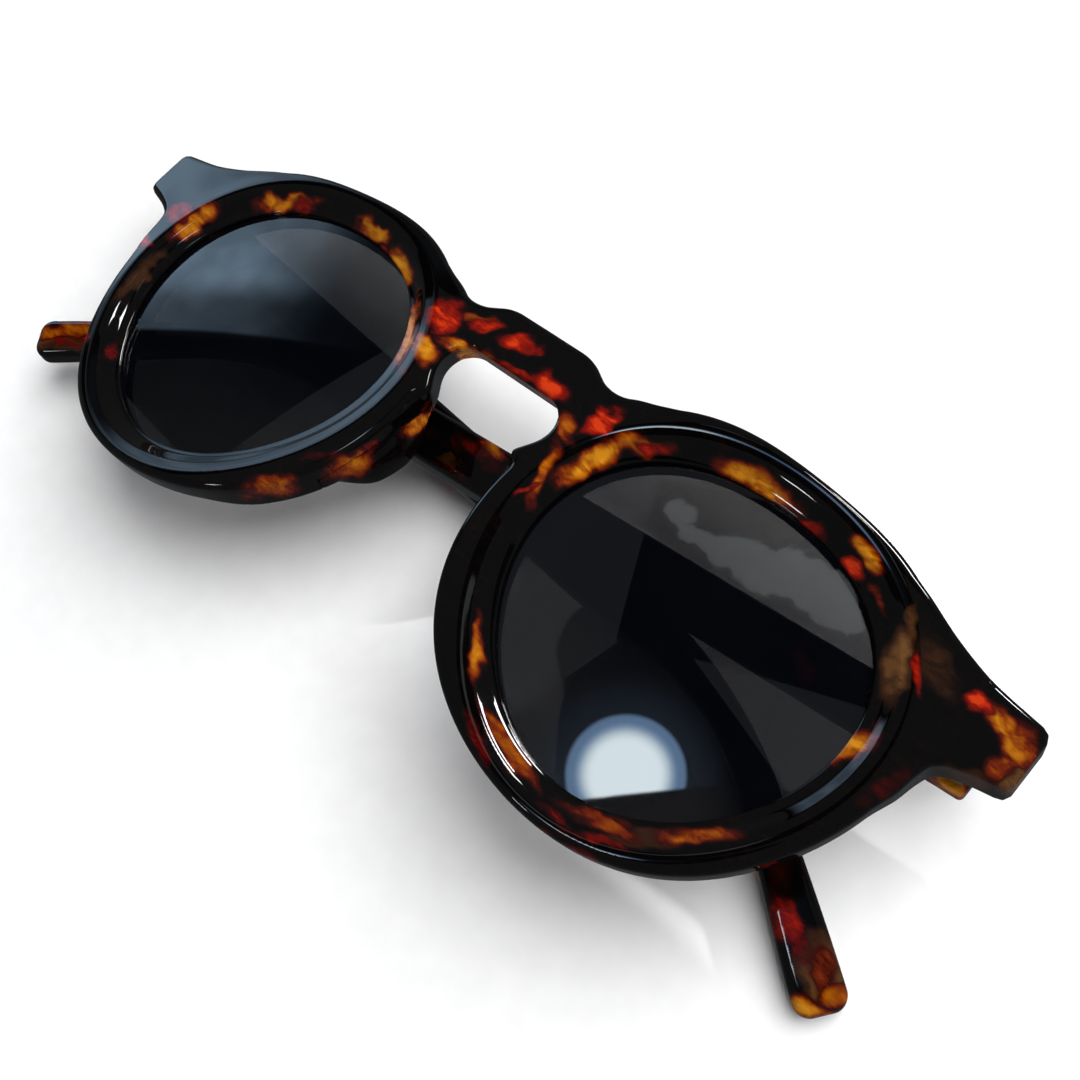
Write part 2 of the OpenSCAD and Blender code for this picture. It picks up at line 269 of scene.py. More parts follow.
# %% Blender objects from points and faces
def add_piece(name, points_mm, faces, normals=None, body="front", replaces=()):
    mesh = bpy.data.meshes.new(name)
    mesh.from_pydata((points_mm * MM).tolist(), [], faces.tolist())
    mesh.polygons.foreach_set("use_smooth", [True] * len(mesh.polygons))
    mesh.update()
    if normals is not None:
        mesh.normals_split_custom_set_from_vertices(normals.tolist())
    piece = bpy.data.objects.new(name, mesh)
    bpy.context.scene.collection.objects.link(piece)
    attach(piece, body)
    if replaces:
        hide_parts(*replaces)
    print(name, len(mesh.vertices), "vertices", len(mesh.polygons), "faces")
    return piece

# %% [markdown]
# ## The front's outlines
# The rim's outer edge and the lens opening are nearly circles. A mean radius and a few waves once, twice,
# three and four times round give their oval, the flatter brow and the narrower foot. These are the
# CAD's own values. The bridge bar and the end pieces are polygons, joined to the rims with soft corners,
# as a cutter leaves them.

# %% Rim, opening, bridge and end piece
LENS_X = 35.7
BEND = 470
FRONT_T = 5.5
LENS_CANT = math.asin(LENS_X / BEND)
LENS_SET = 2.7
LENS_T = 2.0
GROOVE = 0.6

def face_z(x, depth=0):
    return np.sqrt((BEND - depth) ** 2 - x * x) - BEND

def lens_radius(a):
    return 20.1 + 0.72 * np.cos(2 * a) - 0.28 * np.sin(2 * a) + 0.66 * np.sin(3 * a)

def rim_radius(a):
    return (26.0 - 0.38 * np.cos(a) + 0.12 * np.sin(a) + 1.53 * np.cos(2 * a) + 0.78 * np.sin(3 * a)
            - 0.29 * np.cos(4 * a) + 0.27 * np.sin(4 * a))

SIDE = LENS_X + float(rim_radius(0.0))

def through(points, steps=5):
    """A smooth curve through a few points, as a list of closer points."""
    p = np.array([points[0]] + points + [points[-1]], float)
    curve = []
    for a, b, c, d in zip(p, p[1:], p[2:], p[3:]):
        for t in np.linspace(0, 1, steps, endpoint=False):
            curve.append(tuple(0.5 * (2 * b + (c - a) * t + (2 * a - 5 * b + 4 * c - d) * t ** 2
                                      + (3 * b - a - 3 * c + d) * t ** 3)))
    return curve + [tuple(p[-1])]

END_TOP = through([(SIDE - 11, 19.0), (SIDE - 8.6, 18.9), (SIDE - 5.4, 18.1), (SIDE - 1.8, 16.9),
                   (SIDE + 1.8, 16.0), (70.0, 15.4)])
END_LOW = through([(70.0, 7.6), (SIDE + 4.4, 6.8), (SIDE + 1.9, 5.6), (SIDE + 0.8, 3.4), (SIDE, 0.6),
                   (SIDE - 2, -2)])
END = END_TOP + [(70.8, 15.05), (71.2, 14.2), (71.2, 8.8), (70.8, 7.95)] + END_LOW + [(SIDE - 11, -2)]

def lens_frame(x, z):
    """Across and out of the front, in the plane of a lens."""
    dx, dz = x - LENS_X, z - face_z(LENS_X)
    return (dx * math.cos(LENS_CANT) - dz * math.sin(LENS_CANT),
            dx * math.sin(LENS_CANT) + dz * math.cos(LENS_CANT))

print("the rims reach", round(SIDE, 2), "mm out, the end pieces 71.2 mm")

# %% [markdown]
# ## The whole front
# The milled plate is bent to a large radius, so its faces are two cylinders. The outline, the faces, the
# bevel round each lens, the groove that holds the lens, the flared keyhole and the seats for pads and
# hinges are cut one after the other. Outside the crest the face is slightly crowned. Inside it, the front
# falls in two slopes: a gentle one from the crest, then a steep one down to a narrow ledge. On the
# photograph they are rings of different light.

# %% The front as one distance
RING = [(0.0, -2.12), (0.5, -2.0), (2.45, -0.42), (3.95, 0.0)]  # outwards from the lens, and height
EDGE_FRONT = 0.9
CROWN = 0.14
PAD_X, PAD_LOW, PAD_LEAN, PAD_END, PAD_SET = 8.8, 3.2, math.radians(17), 8.2, 1.6
SEAT_X, SEAT_Z = 61, -10.6535

def bevel(x, y, z, depth):
    """How far a point lies above the ledge and the slopes round a lens, how far above the crowned band
    outside them, and how far out from the lens. The slopes and the band follow the bent face."""
    out = polar_distance(x, y, lens_radius)
    lines = [z0 + (z1 - z0) * (out - o0) / (o1 - o0) for (o0, z0), (o1, z1) in zip(RING, RING[1:])]
    ledge, steep, gentle = lines
    slopes = -depth + np.logaddexp(-steep * 24, -gentle * 24) / 24
    over = -np.logaddexp(-slopes * 16, -(z - ledge) * 16) / 16
    band = -depth + CROWN * (1 - np.exp(-np.maximum(out - RING[-1][0], 0) / 1.6))
    return over, band, out

def keyhole_distance(x, y, z):
    depth = np.maximum(-z, 0)
    y = (y - depth * math.tan(math.radians(12))) * math.cos(math.radians(12))
    x = np.maximum(x - depth * math.tan(math.radians(17)), 0)
    hole = np.hypot(np.maximum(x - 5.4, 0), y - 9.5) - 3.3
    neck = np.maximum(x - 6.3, y - 9.5)
    return join_round(hole, neck, 2.5)

def pad_frame(x, y):
    dx, dy = x - PAD_X, y + PAD_LOW
    c, s = math.cos(PAD_LEAN), math.sin(PAD_LEAN)
    return dx * c + dy * s, -dx * s + dy * c

PAD_BED = [(-1.5, -PAD_SET), (3.2, -FRONT_T), (3.2, -FRONT_T - 4), (-8, -FRONT_T - 4), (-8, -PAD_SET)]

def pad_back(y, z):
    """The pad's back swells behind the rim and comes back to it at both ends."""
    return (-z - FRONT_T - 2.2 * (1 - (y / PAD_END) ** 2)) * 0.9

def swell_distance(px, py, z):
    """The rim's wall swells towards the nose and grows into the pad behind it."""
    ends = smooth_step((8.4 - np.abs(py)) / 6.5)
    wall = 0.2 + py * py / 54 - 2.3 * ends * smooth_step((-0.8 - z) / 5.2)
    return np.maximum(cut_round(np.maximum(wall - px, px - 3.2), pad_back(py, z), 0.8), np.abs(py) - PAD_END)

def bridge_distance(x, y):
    """The bar over the nose: a nearly straight top, a slanted shoulder and a soft corner between."""
    top = y - 20.35
    shoulder = (x - 7.3) * 0.48 + (y - 19.95) * 0.877
    return np.maximum(cut_round(top, shoulder, 0.8), np.maximum(5 - y, x - 19.7))

WEB = through([(9.8, 17.2), (11.6, 17.9), (13.2, 18.6), (15.0, 19.4), (18.0, 20.3),
               (20.4, 20.6)]) + [(21, 15), (12, 14)]

def front_outline(x, y):
    rim = polar_distance(x - LENS_X, y, rim_radius)
    rim = join_round(rim, polygon_distance(x, y, WEB), 0.5)
    end = polygon_distance(x, y, END)
    return join_round(join_round(rim, bridge_distance(x, y), 1.8), end, 1.5)

def front_body(x, y, z):
    """The front before the pads and the hinges are let in."""
    depth = BEND - np.hypot(x, z + BEND)
    low = smooth_step((6 - y) / 8) * smooth_step((x - 16) / 8)
    outline = front_outline(x, y) + 0.25 * low * smooth_step((depth - 1) / 4)
    lx, lz = lens_frame(x, z)
    over, band, out = bevel(lx, y, lz, depth)
    body = cut_round(outline, band, EDGE_FRONT)
    body = cut_round(body, depth - FRONT_T, 1.0 + low)
    body = cut_round(body, over * 0.85, 0.16)
    body = cut_round(body, -out, 0.25)
    groove = np.maximum(out - GROOVE, np.abs(lz + LENS_SET + LENS_T / 2) - LENS_T / 2)
    body = np.maximum(body, -groove)
    body = cut_round(body, -keyhole_distance(x, y, z), 0.9)
    px, py = pad_frame(x, y)
    return join_round(body, np.maximum(swell_distance(px, py, z), z + 1.2), 0.5)

def pad_bed(x, y, z):
    px, py = pad_frame(x, y)
    return np.maximum(polygon_distance(px, z, PAD_BED), np.abs(py) - PAD_END)

def front_shape(x, y, z):
    x = np.abs(x)
    body = np.maximum(front_body(x, y, z), -pad_bed(x, y, z))
    seat = np.maximum(SEAT_X - x, z - SEAT_Z)
    body = cut_round(body, -seat, 0.5)
    return body

points, faces, normals = mesh_shape(front_shape, (-72, -27, -13), (72, 25.5, 1.2), 0.36, finer=True)
front_points = points
front_normals = normals @ turn_y(-FOLD).T
front = add_piece("acetate_front", front_to_table(points), faces, front_normals,
                  body="front", replaces=["frame_front"])

# %% [markdown]
# ## Nose pads
# Each pad is a small block of the same acetate, bonded into a bed at the inner back corner of the rim.
# It is then filed and polished together with the rim, so the two share one surface and the seam hardly shows.
# The mesh does the same: a pad is the part of the whole body that lies in the bed.

# %% Two bonded pads
def pad_shape(x, y, z):
    x = np.abs(x)
    return np.maximum(front_body(x, y, z), pad_bed(x, y, z))

pads = []
for side, label in ((1, "left"), (-1, "right")):
    near, far = sorted((side * 4.0, side * 18.0))
    points, faces, normals = mesh_shape(pad_shape, (near, -13, -9), (far, 7, 0), 0.3)
    points, normals = front_to_table(points), normals @ turn_y(-FOLD).T
    piece = add_piece("pad_" + label, points, faces, normals, body="front",
                      replaces=["nose_pad_" + label])
    pads.append((piece, points, normals))

# %% [markdown]
# ## Temples
# A temple is a flat bar with rounded long edges. It runs straight to the ear, narrows to a waist, bends
# down and widens again to a paddle with rounded corners. Any point beside it is first turned into a
# length along the centre line and an offset from it, and the section is drawn in these two.

# %% Length along a temple and offset from it
FALL = math.radians(4.9)
TURN = math.radians(31)
BEND_AT, BEND_R, TIP_LEN = 94, 43, 23
STRAIGHT = BEND_AT / math.cos(FALL)
TEMPLE_LEN = STRAIGHT + BEND_R * TURN + TIP_LEN
BEND_START = np.array([BEND_AT, -BEND_AT * math.tan(FALL)])
BEND_CENTRE = BEND_START - BEND_R * np.array([math.sin(FALL), math.cos(FALL)])

def along_temple(x, y):
    length = x * math.cos(FALL) - y * math.sin(FALL)
    offset = x * math.sin(FALL) + y * math.cos(FALL)
    bx, by = x - BEND_CENTRE[0], y - BEND_CENTRE[1]
    angle = np.arctan2(bx, by) - FALL
    past = angle > 0
    bent = (length > STRAIGHT) & past
    length = np.where(bent, STRAIGHT + BEND_R * np.minimum(angle, TURN), length)
    offset = np.where(bent, np.hypot(bx, by) - BEND_R, offset)
    last = FALL + TURN
    end_x = BEND_CENTRE[0] + BEND_R * math.sin(last)
    end_y = BEND_CENTRE[1] + BEND_R * math.cos(last)
    tip = (x - end_x) * math.cos(last) - (y - end_y) * math.sin(last)
    beyond = bent & (angle > TURN)
    length = np.where(beyond, STRAIGHT + BEND_R * TURN + tip, length)
    offset = np.where(beyond, (x - end_x) * math.sin(last) + (y - end_y) * math.cos(last), offset)
    return length, offset

def ease(t):
    return (1 - np.cos(np.pi * np.clip(t, 0, 1))) / 2

def temple_half(length):
    return (7.0 - 2.8 * ease((length - 78) / 30) + 1.8 * ease((length - 108) / (TEMPLE_LEN - 108))) / 2

print("a temple is", round(TEMPLE_LEN + 2.2, 1), "mm long along its middle")

# %% Both temples
INNER, OUTER = -1.0, -5.2
LEAF_H = 4.64

def temple_shape(x, y, z):
    length, offset = along_temple(x, y)
    outline = np.abs(offset) - temple_half(length)
    outline = cut_round(outline, length - TEMPLE_LEN, 1.9)
    outline = cut_round(outline, -2.2 - x, 0.6)
    thin = 0.45 * ease((length - 100) / 35)
    bar = cut_round(outline, np.abs(z - (INNER + OUTER) / 2) - (INNER - OUTER) / 2 + thin, 1.1)
    bar = cut_round(bar, 1.8 - np.hypot(x, z), 0.2)
    pocket = np.maximum(np.abs(x - 5.4) - 3.6, np.maximum(np.abs(y) - LEAF_H / 2, -1.6 - z))
    return np.maximum(bar, -pocket)

temples = {}
for side, label in ((1, "left"), (-1, "right")):
    points, faces, normals = mesh_shape(temple_shape, (-4, -32, -6), (136, 5, 0), 0.36, finer=True)
    if side > 0:
        faces = faces[:, ::-1]
    points, normals = temple_to_table(points, side), normals * np.array([-side, 1, 1])
    piece = add_piece("acetate_temple_" + label, points, faces, normals,
                      body="temple_" + label, replaces=["temple_" + label])
    temples[label] = (piece, points, normals)

# %% [markdown]
# ## Lenses
# A sun lens is a thin shell with a gentle bulge. The bulge matters for the picture: a flat pane would show
# the reflection of a lamp at full size, the curved one shrinks it to a round spot. The shell's edge
# sits in the rim's groove.

# %% Two bulged lenses
LENS_BULGE = 300

def lens_shape(x, y, z):
    lx, lz = lens_frame(np.abs(x), z)
    out = polar_distance(lx, y, lens_radius) - (GROOVE - 0.02)
    sag = (lx * lx + y * y - 20.0 ** 2) / (2 * LENS_BULGE)
    middle = -LENS_SET - LENS_T / 2 - sag
    return cut_round(out, np.abs(lz - middle) - LENS_T / 2 + 0.1, 0.3)

lenses = []
for side, label in ((1, "left"), (-1, "right")):
    near, far = sorted((side * 13.0, side * 58.0))
    points, faces, normals = mesh_shape(lens_shape, (near, -22, -9), (far, 22, 0), 0.45)
    lenses.append(add_piece("lens_" + label + "_bulged", front_to_table(points), faces,
                            normals @ turn_y(-FOLD).T, body="front", replaces=["lens_" + label]))

# %% [markdown]
# ## Shader maths as Python
# A material is a graph of nodes. Written out, even a small sum takes ten lines. One class wraps a socket
# and another a material, so that 0.04 + 0.1 * smudge makes its own Math nodes.

# %% A socket and a finish that make their own nodes
class Wire:
    """One output socket, with the usual signs for maths on plain numbers."""
    def __init__(self, finish, socket):
        self.finish, self.socket = finish, socket

    def maths(self, operation, a, b):
        return self.finish.node("ShaderNodeMath", {"operation": operation}, {0: a, 1: b})

    def __add__(self, other): return self.maths("ADD", self, other)
    def __radd__(self, other): return self.maths("ADD", other, self)
    def __sub__(self, other): return self.maths("SUBTRACT", self, other)
    def __rsub__(self, other): return self.maths("SUBTRACT", other, self)
    def __mul__(self, other): return self.maths("MULTIPLY", self, other)
    def __rmul__(self, other): return self.maths("MULTIPLY", other, self)

    def between(self, low, high):
        """0 below low, 1 above high, smooth between."""
        return self.finish.node("ShaderNodeMapRange", {"interpolation_type": "SMOOTHSTEP"},
                                {"Value": self, "From Min": low, "From Max": high}, "Result")

class Finish:
    """A material whose nodes come from one method."""
    def __init__(self, name):
        self.material = bpy.data.materials.new(name)
        self.material.use_nodes = True
        self.tree = self.material.node_tree
        self.tree.nodes.clear()

    def node(self, kind, settings=None, sockets=None, out=0):
        made = self.tree.nodes.new(kind)
        for key, value in (settings or {}).items():
            if key == "stops":
                set_stops(made.color_ramp, value)
            else:
                setattr(made, key, value)
        for key, value in (sockets or {}).items():
            if isinstance(value, Wire):
                self.tree.links.new(value.socket, made.inputs[key])
            else:
                made.inputs[key].default_value = value
        return Wire(self, made.outputs[out]) if made.outputs else made

    def place(self):
        return self.node("ShaderNodeTexCoord", out="Object")

    def noise(self, place, scale, detail=3.0, rough=0.5, distortion=0.0):
        return self.node("ShaderNodeTexNoise", {}, {"Vector": place, "Scale": scale, "Detail": detail,
                                                    "Roughness": rough, "Distortion": distortion}, "Fac")

    def field(self, name):
        return self.node("ShaderNodeAttribute", {"attribute_name": name}, out="Fac")

    def ramp(self, value, *stops):
        return self.node("ShaderNodeValToRGB", {"stops": stops}, {"Fac": value})

    def mix(self, amount, a, b):
        return self.node("ShaderNodeMix", {"data_type": "RGBA"}, {0: amount, 6: a, 7: b}, 2)

    def bump(self, height, strength, distance):
        return self.node("ShaderNodeBump", {}, {"Height": height, "Strength": strength,
                                                "Distance": distance})

    def surface(self, sockets):
        shader = self.node("ShaderNodeBsdfPrincipled", {}, sockets)
        self.node("ShaderNodeOutputMaterial", {}, {"Surface": shader})
        return self.material

def set_stops(ramp, stops):
    while len(ramp.elements) < len(stops):
        ramp.elements.new(0.5)
    for element, (place, colour) in zip(ramp.elements, stops):
        element.position = place
        element.color = (*colour, 1)

def dress(piece, material):
    """Puts a material in every slot of a piece, and in one if it has none."""
    if not piece.data.materials:
        piece.data.materials.append(material)
    for slot in piece.material_slots:
        slot.material = material

# %% [markdown]
# ## Tortoiseshell acetate
# The sheet is pressed from blocks of black, red and honey coloured acetate, so the clouds run through
# its whole thickness. Where they lie is chance, and it is part of how these glasses look, so each cloud is
# listed: a soft oval by its middle on the photograph, in pixels of its 1080 frame, with its two
# half sizes, its tilt and its strength. Waves with a fixed seed fray the ovals. What faces away from the
# photograph gets clouds from the same waves alone. The fields are kept at the vertices, and the shader
# turns them into colour.

# %% Clouds at the vertices
rng = np.random.default_rng(7)

def ripples(points, size, count=24):
    """A smooth random field with a grain of about that size, mean 0 and spread 1."""
    directions = rng.normal(size=(count, 3))
    directions /= np.linalg.norm(directions, axis=1)[:, None]
    waves = directions * (2 * np.pi / size * rng.uniform(0.6, 1.6, count))[:, None]
    return np.cos(points @ waves.T + rng.uniform(0, 2 * np.pi, count)).sum(axis=1) / math.sqrt(count / 2)

def photo_pixels(points_mm):
    away = points_mm - np.array(EYE) / MM
    depth = -away @ np.array(BACK)
    return (PHOTO_SIDE / 2 + FOCAL_PX * (away @ np.array(RIGHT)) / depth,
            PHOTO_SIDE / 2 - FOCAL_PX * (away @ np.array(UP)) / depth)

def clouds(u, v, table):
    """The strongest of a table's soft ovals at each point."""
    best = np.zeros_like(u)
    for cu, cv, long, short, tilt, strength in table:
        c, s = math.cos(math.radians(tilt)), math.sin(math.radians(tilt))
        a, b = (u - cu) * c + (v - cv) * s, (v - cv) * c - (u - cu) * s
        best = np.maximum(best, strength * smooth_step((1.85 - np.hypot(a / long, b / short)) / 1.5))
    return best

def add_clouds(piece, points_mm, normals, tables):
    """Adds the fields amber, red and tan to a piece."""
    u, v = photo_pixels(points_mm)
    u = u + 2.2 * ripples(points_mm, 6) + 1.2 * ripples(points_mm, 2.2)
    v = v + 2.2 * ripples(points_mm, 6) + 1.2 * ripples(points_mm, 2.2)
    sight = np.array(EYE) / MM - points_mm
    facing = (normals * sight).sum(axis=1) / np.linalg.norm(sight, axis=1)
    seen = smooth_step((facing + 0.25) / 0.3)
    for name, table in tables.items():
        chance = smooth_step(ripples(points_mm, 16) * 0.5 + ripples(points_mm, 6) * 0.2 - 0.25)
        values = clouds(u, v, table) * seen + 0.9 * chance * (1 - seen)
        piece.data.attributes.new(name, "FLOAT", "POINT").data.foreach_set("value", values)

# %% Where the clouds and the painted glints lie on the photograph
# Most ovals are the acetate's own clouds. A few are painted light: two red glints and a red and honey
# highlight.
FRONT_CLOUDS_AND_GLINTS = {
    "amber": [(594, 462, 34, 9, -28, 1.0), (757, 482, 36, 10, 28, 1.0), (868, 555, 18, 8, 50, 1.0),
              (850, 748, 24, 12, -25, 0.95), (700, 835, 34, 7, -4, 0.66), (600, 820, 38, 7, 25, 0.5),
              (478, 648, 28, 6, 92, 0.75), (507, 745, 44, 7, 57, 0.62), (1003, 722, 22, 8, 50, 0.85),
              (1019, 748, 20, 14, 70, 0.78), (1000, 768, 14, 10, 0, 0.6),
              (470, 352, 24, 7, 25, 1.0), (425, 350, 14, 10, 60, 0.85), (408, 335, 30, 7, 105, 0.85),
              (425, 418, 26, 6, -35, 0.75), (545, 475, 30, 6, -65, 0.7), (285, 202, 28, 7, 0, 0.88),
              # (195, 222) is the honey part of a painted highlight on the far rim's bevel.
              (372, 230, 15, 8, 35, 0.95), (400, 265, 17, 9, 72, 0.95), (195, 222, 22, 9, -35, 0.8),
              (270, 488, 26, 9, -5, 0.62), (350, 464, 22, 11, -20, 0.68), (480, 322, 16, 4, 5, 0.75),
              (640, 447, 28, 8, 8, 0.72), (568, 428, 14, 6, 70, 0.6), (880, 600, 16, 5, 60, 0.5)],
    "red": [(445, 318, 17, 15, 0, 1.0), (486, 326, 16, 6, 5, 0.8), (522, 345, 19, 8, 5, 1.0),
            (551, 388, 17, 11, 25, 1.0), (603, 424, 20, 9, -25, 1.0), (655, 450, 18, 6, 8, 0.75),
            (812, 528, 18, 7, 45, 0.7), (852, 572, 13, 8, 20, 0.95), (916, 672, 22, 5, 85, 0.8),
            (872, 728, 14, 7, -50, 0.36), (976, 699, 14, 9, 25, 1.0),
            (990, 708, 10, 6, 40, 0.8), (510, 372, 30, 5, 25, 0.7),
            # (180, 212) is the red part of the same painted highlight. (140, 243) is a painted red glint on the
            # far rim's outer brow.
            (180, 212, 14, 8, -30, 0.8), (140, 243, 9, 6, 0, 0.8), (303, 207, 9, 8, 0, 0.8),
            (385, 255, 10, 6, 60, 0.6), (370, 446, 15, 6, -10, 0.5), (85, 335, 6, 8, 0, 0.7),
            (112, 350, 6, 9, 20, 0.6), (480, 740, 34, 7, 60, 0.5), (570, 850, 50, 7, 25, 0.5),
            (885, 788, 34, 10, -35, 0.36), (555, 815, 22, 8, 35, 0.5), (330, 455, 30, 6, -10, 0.35),
            # (530, 490) is a painted red glint.
            (530, 490, 14, 4, -20, 0.7), (600, 838, 30, 5, 20, 0.5)],
    "tan": [(897, 665, 30, 11, 100, 0.85), (908, 632, 20, 5, 110, 0.6), (640, 838, 40, 6, 5, 0.3),
            (1018, 778, 18, 16, 0, 0.75), (968, 778, 22, 10, 20, 0.42), (140, 275, 30, 7, -45, 0.4),
            (935, 665, 30, 16, 60, 0.26)],
}
TEMPLE_CLOUDS = {
    "left": {
        "amber": [(492, 448, 14, 7, 35, 0.85), (946, 783, 18, 11, 35, 1.0), (938, 768, 14, 5, -20, 1.0),
                  (64, 330, 42, 8, -3, 0.66)],
        "red": [(478, 452, 32, 9, 40, 0.42), (455, 472, 26, 5, 40, 0.36), (806, 668, 20, 13, 80, 0.8),
                (70, 343, 30, 6, -3, 0.5)],
        "tan": [(66, 335, 42, 12, -3, 0.85)],
    },
    "right": {
        "amber": [(806, 1008, 24, 9, 20, 1.0), (838, 996, 12, 10, 0, 0.62), (824, 965, 22, 14, 75, 0.5)],
        "red": [(786, 922, 20, 16, 60, 0.8), (800, 948, 20, 9, 60, 0.5)],
        "tan": [(826, 968, 30, 22, 75, 0.95)],
    },
}
add_clouds(front, front_to_table(front_points), front_normals, FRONT_CLOUDS_AND_GLINTS)
for label, (piece, points_mm, normals) in temples.items():
    add_clouds(piece, points_mm, normals, TEMPLE_CLOUDS[label])
for piece, points_mm, normals in pads:
    add_clouds(piece, points_mm, normals, FRONT_CLOUDS_AND_GLINTS)
# The count takes in the painted glints and the painted highlight.
print(sum(len(t) for t in FRONT_CLOUDS_AND_GLINTS.values()), "clouds on the front")

# %% [markdown]
# ## The acetate's shader
# Ramps turn each field into the colours met on the way from the dark ground to a cloud's heart: black,
# red-brown, orange, honey. Two noises break the hearts up, one of the size of a cloud and one of fine
# threads. The polish is high, with faint smudges that only roughness shows. A clear coat would do the same
# for the gloss, but the bare surface of polished acetate has only one layer.

# %% Acetate
def acetate(name, glow):
    finish = Finish(name)
    place = finish.place()
    turned = finish.node("ShaderNodeMapping", {}, {"Vector": place, "Rotation": (0.2, 0.3, 0.6),
                                                   "Scale": (1.0, 2.3, 1.3)})
    body = finish.noise(turned, 260, 2.0, 0.5, 0.9).between(0.3, 0.7)
    streaks = finish.noise(turned, 800, 2.0, 0.5, 1.2).between(0.3, 0.7)
    grain = 0.58 + 0.40 * body + 0.15 * streaks
    amber = finish.field("amber") * grain
    red = finish.field("red") * grain
    tan = finish.field("tan") * grain
    ground = finish.ramp(body * streaks, (0.3, (0.0009, 0.0008, 0.0008)), (0.9, (0.0028, 0.0011, 0.0009)))
    amber_tone = finish.ramp(amber, (0.0, (0.002, 0.001, 0.001)), (0.28, (0.030, 0.0022, 0.001)),
                             (0.44, (0.11, 0.012, 0.001)), (0.62, (0.22, 0.055, 0.001)),
                             (0.95, (0.44, 0.17, 0.006)))
    red_tone = finish.ramp(red, (0.0, (0.002, 0.001, 0.001)), (0.35, (0.030, 0.001, 0.001)),
                           (0.6, (0.12, 0.003, 0.001)), (0.78, (0.24, 0.008, 0.001)),
                           (0.95, (0.40, 0.026, 0.003)))
    tan_tone = finish.ramp(tan, (0.0, (0.002, 0.001, 0.001)), (0.4, (0.030, 0.011, 0.004)),
                           (0.9, (0.13, 0.055, 0.016)))
    colour = finish.mix(tan.between(0.02, 0.25), ground, tan_tone)
    colour = finish.mix(amber.between(0.04, 0.3), colour, amber_tone)
    colour = finish.mix(red.between(0.14, 0.5), colour, red_tone)
    smudge = finish.noise(place, 90, 5.0, 0.6)
    rough = 0.03 + 0.05 * smudge.between(0.45, 0.8)
    # The colour is also given off as a faint painted glow. This is light painted into the acetate, so the
    # clouds look lit from within.
    return finish.surface({"Base Color": colour, "Roughness": rough, "IOR": 1.5,
                           "Emission Color": colour, "Emission Strength": glow})

# Painted glow: the front gives off a fifth of its colour, the temples a tenth.
front_finish = acetate("front_acetate_polished", 0.2)
temple_finish = acetate("temple_acetate_polished", 0.1)
dress(front, front_finish)
for piece, points_mm, normals in pads:
    dress(piece, front_finish)
for piece, points_mm, normals in temples.values():
    dress(piece, temple_finish)
print("the acetate's shader has", len(front_finish.node_tree.nodes), "nodes")

# %% [markdown]
# ## Lenses and metal
# A dark sun lens lets little light through. Each of its two faces lets a fifth straight through, and the
# rest is a nearly black, very smooth body. A glass shader would bend the light as well, which a thin
# lens hardly does and which makes much more noise.

# %% Smoke lens
def smoke():
    finish = Finish("smoke_lens_grey")
    place = finish.place()
    film = finish.noise(place, 60, 4.0, 0.6)
    tone = finish.ramp(film, (0.3, (0.0010, 0.0012, 0.0022)), (0.8, (0.0020, 0.0024, 0.0036)))
    rough = 0.012 + 0.03 * film.between(0.5, 0.85)
    return finish.surface({"Base Color": tone, "Roughness": rough, "IOR": 1.58, "Alpha": 0.80,
                           "Specular IOR Level": 0.9})

smoke_finish = smoke()
for piece in lenses:
    dress(piece, smoke_finish)
print("lens finish on", [piece.name for piece in lenses])

# %% Nickel hinges, steel screws, core wire
def metal(name, colour, roughness, brushed):
    finish = Finish(name)
    place = finish.place()
    stretched = finish.node("ShaderNodeMapping", {}, {"Vector": place, "Scale": (1, brushed, 1)})
    lines = finish.noise(stretched, 2500, 3.0, 0.6)
    wear = finish.noise(place, 500, 3.0, 0.5)
    dark = [0.6 * c for c in colour]
    tone = finish.mix(lines * 0.5 + wear * 0.4, (*dark, 1), (*colour, 1))
    rough = roughness + 0.15 * wear
    height = finish.bump(lines, 0.15, 0.00005)
    return finish.surface({"Base Color": tone, "Metallic": 1.0, "Roughness": rough, "Normal": height})

nickel = metal("hinge_nickel_brushed", (0.72, 0.70, 0.66), 0.2, 8)
steel = metal("screw_steel_turned", (0.62, 0.62, 0.63), 0.15, 1)
wire_metal = metal("core_wire_drawn", (0.66, 0.64, 0.60), 0.25, 12)
for name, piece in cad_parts.items():
    for part, finish in (("hinge_screw", steel), ("front_hinge", nickel), ("temple_hinge", nickel),
                         ("core_wire", wire_metal)):
        if name.startswith(part):
            dress(piece, finish)
print("metal on", sum(finish.users for finish in (nickel, steel, wire_metal)), "parts")

# %% [markdown]
# ## Stage and light
# The table is a plain pale sheet. Big soft lamps light it evenly, and they are hidden from mirror
# reflections, as flags hide them in a studio. The glossy parts then mirror only a few small soft boxes
# and stay dark with thin bright lines. Where each box stands was found backwards: from the eye
# to the bright spot on the photograph, and from there off the lens into the room.

# %% Table
def table_finish():
    finish = Finish("table_paper")
    place = finish.place()
    tooth = finish.noise(place, 300, 3.0, 0.5)
    tone = finish.ramp(tooth, (0.3, (0.90, 0.90, 0.905)), (0.7, (0.93, 0.93, 0.935)))
    return finish.surface({"Base Color": tone, "Roughness": 0.9, "Specular IOR Level": 0.1})

table_mesh = bpy.data.meshes.new("table")
table_mesh.from_pydata([(-3, -3, 0), (3, -3, 0), (3, 3, 0), (-3, 3, 0)], [], [(0, 1, 2, 3)])
table = bpy.data.objects.new("table", table_mesh)
bpy.context.scene.collection.objects.link(table)
dress(table, table_finish())
table.visible_glossy = False
print("the table is", round(table.dimensions.x, 1), "m wide")

# %% Room and lamps
world = bpy.data.worlds.new("room")
bpy.context.scene.world = world
world.use_nodes = True
world.node_tree.nodes["Background"].inputs["Color"].default_value = (0.90, 0.95, 1.0, 1)
world.node_tree.nodes["Background"].inputs["Strength"].default_value = 0.09

def direction(azimuth, elevation):
    a, e = math.radians(azimuth), math.radians(elevation)
    return Vector((math.cos(a) * math.cos(e), math.sin(a) * math.cos(e), math.sin(e)))

